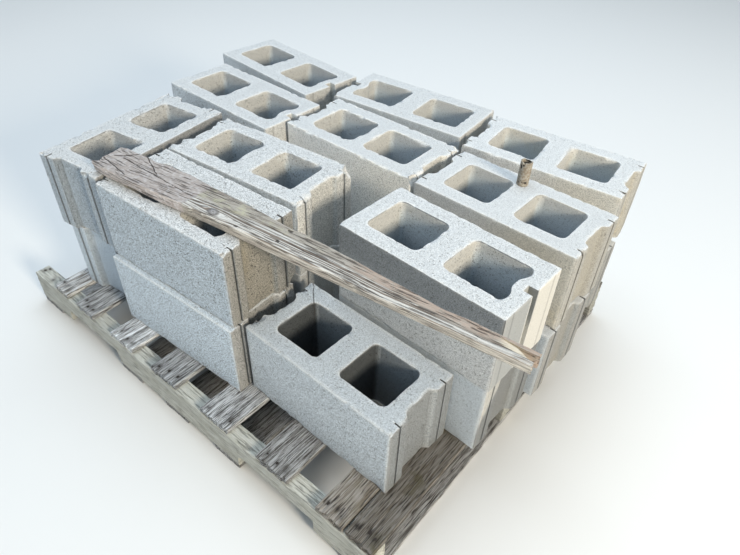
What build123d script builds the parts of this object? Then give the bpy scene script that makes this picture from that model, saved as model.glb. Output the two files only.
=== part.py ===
"""A wooden pallet loaded with two courses of hollow concrete blocks.

All sizes are in millimetres. +X runs along the pallet's stringers and along most of the
blocks, +Y runs along its deck boards, and +Z is up. Everything is laid out from the middle
of the pallet, on the floor, and at the end the whole load is centred over the origin.
"""

import os
from math import atan, cos, degrees, radians, sin

from build123d import *

# Blocks are made to a masonry module, less one mortar joint
MODULE = 203.2
JOINT = 9.2
BLOCK_WIDTH = MODULE - JOINT
BLOCK_LENGTH = 2 * MODULE - JOINT
BLOCK_HEIGHT = 194

# Shells and webs at the top of a block, where the tapered cores are at their smallest
FACE_SHELL = 39
END_WEBS = {"stretcher": 49, "flat": 37, "sash": 33}
CENTRE_WEB = 60
NARROW_WEB = 35
CORE_TAPER = 4
CORE_RADIUS = 15

# The recess between the two ears of a stretcher end, and the slit in each ear
RECESS_WIDTH = 94
RECESS_DEPTH = 13
SHOULDER_WIDTH = 12
SHOULDER_RADIUS = 9
SLIT_INSET = 28
SLIT_WIDTH = 4
SLIT_DEPTH = 14

# The groove of a sash end, and the rib inside the core that backs it
GROOVE_WIDTH = 20
GROOVE_DEPTH = 19
RIB_WIDTH = 54
RIB_DEPTH = 10
RIB_RADIUS = 9
EDGE_CHAMFER = 3

# Pallet: a 48 by 40 inch stringer pallet with notched stringers
PALLET_LENGTH = 1219
PALLET_WIDTH = 1016
STRINGER_WIDTH = 41
STRINGER_HEIGHT = 89
STRINGER_COUNT = 3
NOTCH_END_DISTANCE = 152
NOTCH_LENGTH = 229
NOTCH_DEPTH = 38
NOTCH_RADIUS = 13
DECK_THICKNESS = 15
BOTTOM_BOARD_WIDTH = 89
BOARD_CORNER = 4

# Top deck boards from the left: the gap before each as a share of the length that the
# boards leave open, and its width
DECK_BOARDS = [
    (0.1921, 62),
    (0.0731, 78),
    (0.1459, 92),
    (0.1299, 93),
    (0.1584, 94),
    (0.1546, 94),
    (0.1408, 73),
    (0.0035, 71),
]

# Each course is a loose grid of rows and columns. The shifts move the grid from the
# pallet's middle, and the gaps keep the blocks of a course apart.
COLUMN_GAP = 17
COLUMN_SHIFT = 19.7
BOTTOM_ROW_GAP = 19
BOTTOM_ROW_SHIFT = -8.5
TOP_ROW_GAP = 31
TOP_ROW_SHIFT = 18.5
MIDDLE_COLUMN = 1
MIDDLE_ROW = 1.5

# Each block: column, row, shift along X, shift along Y, turn in degrees, left end, right end,
# and the web between its cores where that is a narrow one
BOTTOM_COURSE = [
    (0, 0.5, 19, 0, 96.7, "stretcher", "stretcher"),
    (1, 0, -77, -3, 2.9, "stretcher", "stretcher"),
    (2, 0, -79, 33, -1.6, "stretcher", "stretcher"),
    (1, 1, -99, 2, 4.0, "stretcher", "stretcher"),
    (2, 1, -2, 23, -2.4, "stretcher", "stretcher"),
    (0, 2, 35, -2, -1.0, "stretcher", "stretcher"),
    (1, 2, 26, 18, 0.0, "stretcher", "stretcher"),
    (2, 2, 20, 12, -0.8, "stretcher", "stretcher"),
    (0, 3, -15, -2, -2.0, "stretcher", "stretcher"),
    (1, 3, -7, 12, 2.0, "stretcher", "stretcher"),
    (2, 3, -9, 14, 2.2, "stretcher", "stretcher"),
]
TOP_COURSE = [
    (0, 0.5, 6, -26, 97.5, "stretcher", "stretcher"),
    (1, 0, -81, 0, 3.1, "stretcher", "stretcher"),
    (1, 1, -101, -20, 4.9, "stretcher", "stretcher"),
    (2, 1, 1, 0, -2.4, "flat", "sash"),
    (0, 2, 30, -41, -1.3, "flat", "sash"),
    (1, 2, 22, 17, -0.5, "stretcher", "stretcher", NARROW_WEB),
    (2, 2, 16, 9, -1.3, "stretcher", "stretcher"),
    (0, 3, -28, -42, -5.4, "flat", "sash"),
    (1, 3, -14, 13, 5.0, "sash", "flat"),
    (2, 3, -13, 24, 5.3, "stretcher", "stretcher"),
]

# Plank on top of the load: straight on its far edge, and torn away on its near edge to a tip.
# Each width stands at a share of the plank's length.
PLANK_LENGTH = 1022
PLANK_THICKNESS = 30
PLANK_TURN = 3.4
PLANK_FAR_CORNER = (-299.5, -309)
PLANK_WIDTHS = [
    (0.02, 96),
    (0.23, 80),
    (0.37, 77),
    (0.57, 62),
    (0.76, 52),
    (0.94, 31),
    (1.00, 20),
]

# Pipe stub that stands on a block of the top course
PIPE_OUTSIDE_DIAMETER = 26.7
PIPE_WALL = 3
PIPE_HEIGHT = 58
PIPE_PLACE = (433.5, 205)

# Sizes that follow from those above
DECK_TOP = DECK_THICKNESS + STRINGER_HEIGHT + DECK_THICKNESS
SECOND_COURSE = DECK_TOP + BLOCK_HEIGHT
LOAD_TOP = SECOND_COURSE + BLOCK_HEIGHT
CORE_WIDTH = BLOCK_WIDTH - 2 * FACE_SHELL
CORE_DRAFT = degrees(atan(CORE_TAPER / BLOCK_HEIGHT))


def turned_plane(x, y, z, turn):
    """A level plane at a place, turned about the vertical."""
    direction = (cos(radians(turn)), sin(radians(turn)), 0)
    return Plane(origin=(x, y, z), x_dir=direction, z_dir=(0, 0, 1))


def block_plane(block, height, row_gap, row_shift):
    """The plane under a block, from its place in its course's grid."""
    column, row, shift_x, shift_y, turn = block[:5]
    x = COLUMN_SHIFT + (column - MIDDLE_COLUMN) * (BLOCK_LENGTH + COLUMN_GAP) + shift_x
    y = row_shift + (row - MIDDLE_ROW) * (BLOCK_WIDTH + row_gap) + shift_y
    return turned_plane(x, y, height, turn)


def end_recess(side):
    """Cut a stretcher end's recess and its two slits from the sketch in hand."""
    face = side * BLOCK_LENGTH / 2
    floor = face - side * RECESS_DEPTH
    outside = face + side * RECESS_DEPTH
    half_mouth = RECESS_WIDTH / 2
    half_floor = half_mouth - SHOULDER_WIDTH
    with BuildSketch(mode=Mode.PRIVATE) as recess:
        with BuildLine():
            Polyline(
                (outside, -half_mouth),
                (face, -half_mouth),
                (floor, -half_floor),
                (floor, half_floor),
                (face, half_mouth),
                (outside, half_mouth),
                close=True,
            )
        make_face()
        floor_corners = recess.vertices().group_by(Axis.X)[0 if side > 0 else -1]
        fillet(floor_corners, SHOULDER_RADIUS)
    add(recess.sketch, mode=Mode.SUBTRACT)
    slit_y = BLOCK_WIDTH / 2 - SLIT_INSET
    with Locations((face, slit_y), (face, -slit_y)):
        Rectangle(2 * SLIT_DEPTH, SLIT_WIDTH, mode=Mode.SUBTRACT)


def end_groove(side):
    """Cut a sash end's groove from the sketch in hand."""
    with Locations((side * BLOCK_LENGTH / 2, 0)):
        Rectangle(2 * GROOVE_DEPTH, GROOVE_WIDTH, mode=Mode.SUBTRACT)


def build_cores(plane, ends, centre_web):
    """The two hollows of a block, as solids that widen downwards."""
    with BuildPart() as cores:
        with BuildSketch(plane):
            for side, kind in ends.items():
                length = BLOCK_LENGTH / 2 - END_WEBS[kind] - centre_web / 2
                with Locations((side * (centre_web + length) / 2, 0)):
                    Rectangle(length + 2 * CORE_TAPER, CORE_WIDTH + 2 * CORE_TAPER)
        extrude(amount=BLOCK_HEIGHT, taper=CORE_DRAFT)
        upright = cores.edges().filter_by(lambda edge: abs(edge.tangent_at(0).Z) > 0.9)
        fillet(upright, CORE_RADIUS)
    return cores.part


def build_block(plane, left_end, right_end, centre_web=CENTRE_WEB):
    """One hollow block: its outline with two shaped ends, less its two cores."""
    ends = {-1: left_end, 1: right_end}
    hollows = build_cores(plane, ends, centre_web)
    with BuildPart() as block:
        with BuildSketch(plane) as outline:
            Rectangle(BLOCK_LENGTH, BLOCK_WIDTH)
            chamfer(outline.vertices(), EDGE_CHAMFER)
            for side, kind in ends.items():
                if kind == "stretcher":
                    end_recess(side)
                elif kind == "sash":
                    end_groove(side)
        extrude(amount=BLOCK_HEIGHT)
        add(hollows, mode=Mode.SUBTRACT)
        for side, kind in ends.items():
            if kind == "sash":
                wall = side * (BLOCK_LENGTH / 2 - END_WEBS[kind])
                with BuildSketch(plane):
                    with Locations((wall, 0)):
                        RectangleRounded(2 * RIB_DEPTH, RIB_WIDTH, RIB_RADIUS)
                extrude(amount=BLOCK_HEIGHT)
    return block.part


def build_stringer(y):
    """One stringer on edge, its near side at y, with two fork notches in its lower edge."""
    notch_x = PALLET_LENGTH / 2 - NOTCH_END_DISTANCE - NOTCH_LENGTH / 2
    with BuildPart() as stringer:
        with BuildSketch(Plane.XZ.offset(-y)):
            with Locations((0, DECK_THICKNESS + STRINGER_HEIGHT / 2)):
                Rectangle(PALLET_LENGTH, STRINGER_HEIGHT)
            with Locations((-notch_x, DECK_THICKNESS), (notch_x, DECK_THICKNESS)):
                RectangleRounded(NOTCH_LENGTH, 2 * NOTCH_DEPTH, NOTCH_RADIUS, mode=Mode.SUBTRACT)
        extrude(amount=-STRINGER_WIDTH)
    return stringer.part


def build_board(x, width, z):
    """One deck board across the stringers, its middle at x, with worn corners."""
    with BuildPart() as board:
        with BuildSketch(Plane.XY.offset(z)) as outline:
            with Locations((x, 0)):
                Rectangle(width, PALLET_WIDTH)
            chamfer(outline.vertices(), BOARD_CORNER)
        extrude(amount=DECK_THICKNESS)
    return board.part


def build_plank():
    """The plank, from the straight far edge and the widths along it."""
    near_edge = [(share * PLANK_LENGTH, -width) for share, width in PLANK_WIDTHS]
    with BuildPart() as plank:
        with BuildSketch(turned_plane(*PLANK_FAR_CORNER, LOAD_TOP, PLANK_TURN)):
            with BuildLine():
                Polyline((0, 0), *near_edge, (PLANK_LENGTH, 0), close=True)
            make_face()
        extrude(amount=PLANK_THICKNESS)
    return plank.part


def build_pipe():
    """The pipe stub, upright and open at both ends."""
    with BuildPart() as pipe:
        with BuildSketch(turned_plane(*PIPE_PLACE, LOAD_TOP, 0)):
            Circle(PIPE_OUTSIDE_DIAMETER / 2)
            Circle(PIPE_OUTSIDE_DIAMETER / 2 - PIPE_WALL, mode=Mode.SUBTRACT)
        extrude(amount=PIPE_HEIGHT)
    return pipe.part


def build_pallet():
    """Stringers, top boards and bottom boards by name."""
    pieces = {}
    stringer_step = (PALLET_WIDTH - STRINGER_WIDTH) / (STRINGER_COUNT - 1)
    for number in range(STRINGER_COUNT):
        pieces[f"stringer_{number + 1}"] = build_stringer(number * stringer_step - PALLET_WIDTH / 2)
    open_length = PALLET_LENGTH - sum(width for gap, width in DECK_BOARDS)
    edge = -PALLET_LENGTH / 2
    for number, (gap, width) in enumerate(DECK_BOARDS):
        x = edge + gap * open_length + width / 2
        pieces[f"top_board_{number + 1}"] = build_board(x, width, DECK_THICKNESS + STRINGER_HEIGHT)
        edge = x + width / 2
    # Bottom boards lie at both ends, beside the notches and in the middle
    end_x = (PALLET_LENGTH - BOTTOM_BOARD_WIDTH) / 2
    notch_x = end_x - NOTCH_END_DISTANCE - NOTCH_LENGTH
    for number, x in enumerate([-end_x, -notch_x, 0, notch_x, end_x]):
        pieces[f"bottom_board_{number + 1}"] = build_board(x, BOTTOM_BOARD_WIDTH, 0)
    return pieces


def build_course(name, blocks, height, row_gap, row_shift):
    """The blocks of one course by name."""
    pieces = {}
    for number, block in enumerate(blocks):
        plane = block_plane(block, height, row_gap, row_shift)
        pieces[f"{name}_block_{number + 1:02d}"] = build_block(plane, *block[5:])
    return pieces


def all_pieces():
    """Every piece of the load by its name."""
    pieces = build_pallet()
    pieces.update(build_course("bottom", BOTTOM_COURSE, DECK_TOP, BOTTOM_ROW_GAP, BOTTOM_ROW_SHIFT))
    pieces.update(build_course("top", TOP_COURSE, SECOND_COURSE, TOP_ROW_GAP, TOP_ROW_SHIFT))
    pieces["plank"] = build_plank()
    pieces["pipe_stub"] = build_pipe()
    return pieces


def main():
    """Centre the load over the origin and write each piece."""
    os.makedirs("parts", exist_ok=True)
    pieces = all_pieces()
    boxes = [part.bounding_box() for part in pieces.values()]
    centre_x = (min(box.min.X for box in boxes) + max(box.max.X for box in boxes)) / 2
    centre_y = (min(box.min.Y for box in boxes) + max(box.max.Y for box in boxes)) / 2
    for name, part in pieces.items():
        piece = part.moved(Location((-centre_x, -centre_y, 0)))
        piece.label = name
        export_step(piece, f"parts/{name}.step")
        print(f"{name}: {piece.volume / 1e6:.3f} litres")


main()
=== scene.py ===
# %% [markdown]
# # A pallet of weathered concrete blocks
#
# The imported model gives every block, board and pipe its place. This lesson dresses it: each
# block becomes a surface with worn edges, slits and chips, the wood gets raised grain and
# cracks, and procedural materials give concrete, wood and rust their colour.
#
# ## Step 1: load the frame
#
# The CAD model is loaded here, and each dressed piece takes its box and place from its part.

import bpy
import numpy as np
from mathutils import Matrix, Vector


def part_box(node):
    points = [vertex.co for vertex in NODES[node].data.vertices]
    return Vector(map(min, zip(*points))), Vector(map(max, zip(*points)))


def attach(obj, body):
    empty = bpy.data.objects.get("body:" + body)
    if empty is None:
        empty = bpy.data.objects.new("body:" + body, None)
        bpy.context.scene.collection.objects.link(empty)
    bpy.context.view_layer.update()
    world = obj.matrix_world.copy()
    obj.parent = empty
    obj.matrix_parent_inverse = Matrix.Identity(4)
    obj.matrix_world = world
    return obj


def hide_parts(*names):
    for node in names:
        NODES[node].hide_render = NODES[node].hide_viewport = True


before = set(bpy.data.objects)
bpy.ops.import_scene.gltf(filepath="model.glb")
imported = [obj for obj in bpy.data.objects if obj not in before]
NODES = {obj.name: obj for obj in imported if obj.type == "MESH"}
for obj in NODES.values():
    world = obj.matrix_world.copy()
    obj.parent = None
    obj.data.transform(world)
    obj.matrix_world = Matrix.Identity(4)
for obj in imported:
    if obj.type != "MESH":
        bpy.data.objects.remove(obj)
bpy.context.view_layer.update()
MM = 0.001

# %% [markdown]
# ## Step 2: smooth random numbers
#
# Damage and wear need numbers that are random but change smoothly over a surface. Space is
# divided into cubes, each corner of a cube gets a fixed random number from its own place, and
# a point takes the eased mean of the eight corners around it. Blender has such noise of its own,
# but this one works on a whole array of points at once.

# %% Value noise


def value_noise(points, cell, seed=0):
    """Values from -1 to 1: corner numbers of a cubic grid of size `cell`, eased between."""
    scaled = np.asarray(points, dtype=float) / cell
    base = np.floor(scaled).astype(np.int64)
    part = scaled - base
    part = part * part * (3 - 2 * part)
    total = np.zeros(scaled.shape[:-1])
    for corner in np.ndindex(2, 2, 2):
        key = (base + corner) * np.array([73856093, 19349663, 83492791])
        mixed = key[..., 0] ^ key[..., 1] ^ key[..., 2] ^ (seed * 2654435761)
        mixed = (mixed ^ (mixed >> 13)) * 1274126177
        number = ((mixed >> 8) & 0xFFFF) / 32767.5 - 1
        weight = np.prod(np.where(corner, part, 1 - part), axis=-1)
        total += weight * number
    return total


def ease(value, low, high):
    """Rises smoothly from 0 at `low` to 1 at `high`."""
    t = np.clip((value - low) / (high - low), 0, 1)
    return t * t * (3 - 2 * t)


print("noise at one point:", round(float(value_noise(np.array([0.3, 0.2, 0.1]), 1.0)), 3))

# %% [markdown]
# ## Step 3: put a grid of points into a mesh
#
# Every surface here is a grid of points. Points that lie at the same place are joined, which
# closes seams and poles, and each four-sided face is cut into two triangles. Each point can
# carry extra values, which the materials read by name.

# %% Grid to mesh


def grid_faces(across, along, wrap_across=False, wrap_along=False, first=0):
    """Corner numbers of each four-sided face of a grid whose points are counted row by row."""
    a, b = np.meshgrid(
        np.arange(across - 1 + wrap_across), np.arange(along - 1 + wrap_along), indexing="ij")
    right, up = (a + 1) % across, (b + 1) % along
    faces = np.stack([a * along + b, right * along + b, right * along + up, a * along + up], -1)
    return faces.reshape(-1, 4) + first


def join_points(points, faces, grain=1e-3):
    """Joined triangles and, for each point kept, its number in `points`."""
    places = np.round(points / grain).astype(np.int64)
    _, keep, join = np.unique(places, axis=0, return_index=True, return_inverse=True)
    quads = join.reshape(-1)[faces]
    triangles = np.concatenate([quads[:, [0, 1, 2]], quads[:, [0, 2, 3]]])
    a, b, c = triangles.T
    triangles = triangles[(a != b) & (b != c) & (c != a)]
    used, triangles = np.unique(triangles, return_inverse=True)
    return triangles.reshape(-1, 3), keep[used]


def joined_grid(grid, faces):
    """Joined points of a grid, and their triangles."""
    points = grid.reshape(-1, 3)
    triangles, keep = join_points(points, faces)
    return points[keep], triangles


def turned_profile(profile, sides):
    """Grid of points: a profile of radius and height carried round an upright axis."""
    angle = np.linspace(0, 2 * np.pi, sides, endpoint=False)
    plan = np.stack([np.cos(angle), np.sin(angle)], -1)[:, None] * profile[None, :, :1]
    heights = np.broadcast_to(profile[None, :, 1:], plan.shape[:2] + (1,))
    return np.concatenate([plan, heights], -1)


def point_normals(points, triangles):
    """Unit normals: the sum of the normals of the triangles around each point."""
    a, b, c = (points[triangles[:, k]] for k in range(3))
    flat = np.cross(b - a, c - a)
    total = np.stack([
        sum(np.bincount(triangles[:, k], flat[:, axis], len(points)) for k in range(3))
        for axis in range(3)], -1)
    return total / np.maximum(np.linalg.norm(total, axis=1, keepdims=True), 1e-12)


def make_piece(name, points, triangles, values=None, sharp_angle=50):
    """A smooth-shaded mesh object in metres from points in millimetres."""
    mesh = bpy.data.meshes.new(name)
    mesh.from_pydata((points * MM).tolist(), [], triangles.tolist())
    for key, value in (values or {}).items():
        kind, field = ("FLOAT_VECTOR", "vector") if value.ndim == 2 else ("FLOAT", "value")
        layer = mesh.attributes.new(key, kind, "POINT")
        layer.data.foreach_set(field, value.astype(np.float32).ravel())
    mesh.shade_smooth()
    mesh.set_sharp_from_angle(angle=np.radians(sharp_angle))
    piece = bpy.data.objects.new(name, mesh)
    bpy.context.scene.collection.objects.link(piece)
    return piece


print("faces of a 4 by 3 grid:", len(grid_faces(4, 3)))

# %% [markdown]
# ## Step 4: where each block lies
#
# A block's place is read from its node in the frame: the middle of the node's box, and the
# direction of the longest level edge of its mesh. The kind of its two ends is stated here.

# %% Places of the blocks
BLOCK_LENGTH, BLOCK_WIDTH, BLOCK_HEIGHT = 397.2, 194.0, 194.0
END_KINDS = {
    "top_block_04": ("flat", "sash"),
    "top_block_05": ("flat", "sash"),
    "top_block_08": ("flat", "sash"),
    "top_block_09": ("sash", "flat"),
}


def node_limits(name):
    """Low and high corners of a node in millimetres."""
    return [np.array(corner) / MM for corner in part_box(name)]


def underside(low, high):
    """Middle of the underside of a box."""
    return np.array([*(low + high)[:2] / 2, low[2]])


def mesh_points(obj):
    """All points of a mesh as one array."""
    points = np.empty(len(obj.data.vertices) * 3)
    obj.data.vertices.foreach_get("co", points)
    return points.reshape(-1, 3)


def block_place(name):
    """Middle of the block's underside in mm, and its turn from -45 to 135 degrees."""
    points = mesh_points(NODES[name])
    ends = np.empty(len(NODES[name].data.edges) * 2, dtype=np.int32)
    NODES[name].data.edges.foreach_get("vertices", ends)
    step = np.diff(points[ends.reshape(-1, 2)], axis=1)[:, 0]
    step = step[np.abs(step[:, 2]) < 1e-4]
    longest = step[np.argmax(np.hypot(step[:, 0], step[:, 1]))]
    turn = (np.degrees(np.arctan2(longest[1], longest[0])) + 45) % 180 - 45
    return underside(*node_limits(name)), turn


BLOCK_NAMES = sorted(name for name in NODES if "block" in name)
PLACES = {name: block_place(name) for name in BLOCK_NAMES}
for name in BLOCK_NAMES[:3]:
    print(name, PLACES[name][0].round(1), "turned", round(PLACES[name][1], 1))

# %% [markdown]
# ## Step 5: the surface of a block
#
# A quarter of a block is a grid. One direction goes around the quarter, from the middle of the
# end, past the corner and along the side, to the centre line. The other goes across the top,
# down the core's wall, back across the underside and up the outside. The outline, a line inside
# the ears and the core's wall are three paths with the same count of points, and each row
# of the grid is a mix of them. The other quarters are mirror images. A block could also be
# cut from a box with booleans, but then its points would lie where the cuts left them. On a
# grid they lie close together where an edge is round, which the damage needs.

# %% Paths around a quarter of a block
HALF_LENGTH, HALF_WIDTH = BLOCK_LENGTH / 2, BLOCK_WIDTH / 2
END_WEBS = {"stretcher": 49.0, "flat": 37.0, "sash": 33.0}
CENTRE_WEB, CENTRE_WEBS = 60.0, {"top_block_06": 35.0}
CORE_WIDTH, CORE_ROUND, CORE_DRAFT, RIB_DEPTH = 116.0, 15.0, 4.0, 10.0
# x of the line inside the ears, and the last place along the core's wall that is still the end's
EAR_LINE, END_STOP = 174.0, 1.46

# Each station: outline x and y, ear line x and y, place along the core's wall, points to the next
END_STATIONS = {
    "stretcher": [
        (185.6, 0, 174, 0, 0.0, 7), (185.6, 33, 174, 33, 0.55, 1), (186.3, 36, 174, 36, 0.6, 1),
        (189.0, 39.5, 174, 39.5, 0.66, 1), (194.0, 43, 174, 43, 0.72, 1),
        (197.6, 46, 174, 46, 0.76, 1), (198.6, 49, 174, 49, 0.8, 4),
        (198.6, 67, 174, 66.5, 0.93, 1), (184.6, 67.3, 174, 66.9, 0.94, 1),
        (184.6, 70.7, 174, 69.5, 0.96, 1), (198.6, 71, 174, 69.9, 0.97, 5)],
    "sash": [
        (179.6, 0, 174, 0, 0.0, 2), (179.6, 9.7, 174, 9.7, 0.2, 1), (198.6, 10, 174, 10, 0.21, 12),
        (198.6, 71, 174, 69.9, 0.97, 5)],
    "flat": [(198.6, 0, 174, 0, 0.0, 15), (198.6, 71, 174, 69.9, 0.97, 5)],
}
SIDE_STATIONS = [
    (198.6, 94, 174, 75.5, 1.45, 1), (197.7, 96.1, 173, 77, 1.5, 1),
    (195.6, 97, 171.5, 78, 1.55, 6), (168.6, 97, 152, 78, 2.0, 36), (0, 97, 12, 78, 3.0, 1),
    (0, 96.2, 12, 77.4, 3.04, 1), (0, 95, 12, 76.5, 3.1, 1), (0, 93, 12, 75, 3.2, 4),
    (0, 77, 12, 63, 4.0, 12), (0, 0, 12, 0, 5.0, 0)]


def core_wall(place, middle, length, rib):
    """Rounded rectangle by place: the end side is from 0 to 1, then a corner to 2, the long
    side to 3, a corner to 4 and the centre side to 5. A rib swells out of the end side."""
    x, y = length / 2 - CORE_ROUND, CORE_WIDTH / 2 - CORE_ROUND
    turn = np.radians(90 * (np.clip(place, 1, 2) - 1 + np.clip(place, 3, 4) - 3))
    middle_x = x - 2 * x * np.clip(place - 2, 0, 1)
    middle_y = y * np.clip(place, 0, 1) - y * np.clip(place - 4, 0, 1)
    path = np.stack([middle + middle_x + CORE_ROUND * np.cos(turn),
                     middle_y + CORE_ROUND * np.sin(turn)], -1)
    at_end = (place < 1) & (rib > 0)
    path[:, 0] -= np.where(at_end, rib * (1 - ease(path[:, 1], 8, 33)), 0)
    return path


def quarter_paths(kind, web, detail):
    """Outline, ear line, core wall at the top and at the bottom, and what lies on the end."""
    stations = np.array(END_STATIONS[kind] + SIDE_STATIONS, float)
    counts = stations[:-1, 5]
    counts = np.where(counts > 2, np.maximum(2, np.round(counts * detail)), counts)
    knots = np.concatenate([[0], np.cumsum(counts)])
    index = np.arange(knots[-1] + 1)
    x, y, ear_x, ear_y, place = (np.interp(index, knots, stations[:, k]) for k in range(5))
    length = HALF_LENGTH - END_WEBS[kind] - web / 2
    middle = np.array([(web + length) / 2, 0])
    top = core_wall(place, middle[0], length, RIB_DEPTH if kind == "sash" else 0)
    spread = np.array([1 + 2 * CORE_DRAFT / length, 1 + 2 * CORE_DRAFT / CORE_WIDTH])
    bottom = middle + (top - middle) * spread
    return np.stack([x, y], -1), np.stack([ear_x, ear_y], -1), top, bottom, place <= END_STOP


for kind in END_STATIONS:
    print(kind, "points around a quarter:", len(quarter_paths(kind, CENTRE_WEB, 1.0)[0]))

# %% [markdown]
# The rows are close together where an edge is rounded and further apart on the flats. The
# edges are rounded by lowering the top near the outline and near the core.

# %% Rows of the grid
ROUND = 1.9
# From the outline at 0 to the ear line at 1 and the core at 2, then heights in mm
TOP_ROWS = np.array([
    0, 0.03, 0.08, 0.17, 0.32, 0.55, 0.8, 1, 1.25, 1.5, 1.72, 1.86, 1.94, 1.98, 2])
BOTTOM_ROWS = np.array([2, 1.95, 1.85, 1.5, 1, 0.4, 0.08, 0])
WALL_ROWS = np.array([190.5, 188, 184, 177, 165, 145, 120, 95, 70, 45, 25, 12, 5.5])
CORE_ROWS = np.array([190.5, 187, 181, 172, 158, 140, 115, 85, 55, 28, 10])


def rounding(distance):
    """How far a rounded edge has dropped at a distance from the edge."""
    gap = np.clip(ROUND - distance, 0, ROUND)
    return ROUND - np.sqrt(ROUND**2 - gap**2)


def quarter_grid(kind, web, detail):
    """Points of a quarter, columns by rows, with each point's distances to outline and core."""
    outline, ears, top, bottom, on_end = quarter_paths(kind, web, detail)

    def across(rows, core):
        """Each row by its number: a mix of outline and ear line up to 1, of ear line and core
        up to 2."""
        t = rows[None, :, None]
        outer = outline[:, None] * (1 - t) + ears[:, None] * t
        inner = ears[:, None] * (2 - t) + core[:, None] * (t - 1)
        return np.where(t < 1, outer, inner)

    mix = (CORE_ROWS / BLOCK_HEIGHT)[None, :, None]
    walls = top[:, None] * mix + bottom[:, None] * (1 - mix)
    sides = np.repeat(outline[:, None], len(WALL_ROWS), 1)
    plan = np.concatenate([across(TOP_ROWS, top), walls, across(BOTTOM_ROWS, bottom), sides], 1)
    stops = np.cumsum([0, len(TOP_ROWS), len(CORE_ROWS), len(BOTTOM_ROWS), len(WALL_ROWS)])
    on_top, on_core, under, outside = (np.s_[:, a:b] for a, b in zip(stops, stops[1:]))
    edge_x = np.where(on_end[:, None], np.linalg.norm(plan - outline[:, None], axis=2),
                      HALF_LENGTH - plan[..., 0])
    to_outline = np.minimum(edge_x, HALF_WIDTH - plan[..., 1])
    to_core = np.full(plan.shape[:2], 99.0)
    to_core[on_top] = np.linalg.norm(plan[on_top] - top[:, None], axis=2)
    to_core[under] = np.linalg.norm(plan[under] - bottom[:, None], axis=2)
    to_core[on_core] = 0
    drop = rounding(to_outline) + rounding(to_core)
    height = BLOCK_HEIGHT - drop
    height[on_core], height[under], height[outside] = CORE_ROWS, drop[under], WALL_ROWS[::-1]
    in_core = np.zeros(plan.shape[:2])
    in_core[on_core] = 1 - CORE_ROWS / BLOCK_HEIGHT
    return np.concatenate([plan, height[..., None]], -1), to_outline, to_core, in_core


print("rows:", len(TOP_ROWS) + len(BOTTOM_ROWS) + len(WALL_ROWS) + len(CORE_ROWS))

# %% [markdown]
# The four quarters are joined. On the centre line the outside's rows would be a wall inside
# the block, so the faces there are left out.

# %% Four quarters make a block


def block_surface(ends, web, detail):
    """Points, triangles and distances of a whole block in its own frame, resting on z = 0."""
    parts, faces, first = [], [], 0
    for side_x, kind in zip((-1, 1), ends):
        points, to_outline, to_core, in_core = quarter_grid(kind, web, detail)
        across, along = points.shape[:2]
        grid = grid_faces(across, along, wrap_along=True)
        column, row = np.divmod(grid, along)
        on_centre = (points[column[:, 0], 0, 0] < 1e-6) & (points[column[:, 1], 0, 0] < 1e-6)
        outside = ((row >= along - len(WALL_ROWS) - 1) | (row == 0)).all(1)
        grid = grid[~(on_centre & outside)]
        table = np.concatenate([points, np.stack([to_outline, to_core, in_core], -1)], -1)
        for side_y in (-1, 1):
            turned = table.reshape(-1, 6) * np.array([side_x, side_y, 1, 1, 1, 1])
            parts.append(turned)
            faces.append((grid if side_x * side_y > 0 else grid[:, ::-1]) + first)
            first += len(turned)
    table, faces = np.concatenate(parts), np.concatenate(faces)
    triangles, keep = join_points(table[:, :3], faces)
    return table[keep], triangles


table, triangles = block_surface(("stretcher", "stretcher"), CENTRE_WEB, 1.0)
print("block:", len(table), "points", len(triangles), "triangles")

# %% [markdown]
# ## Step 6: wear and damage
#
# Fine noise roughens every face. Along the edges, noise above a threshold presses the surface
# in, which crumbles the rim. A bite is a rough ball that pushes the surface out of itself, so a
# ball at a corner breaks that corner off. Sculpting by hand would do the same, block by block.
# Here a list of places, read off the photograph, breaks each block where the real one is broken.

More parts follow.
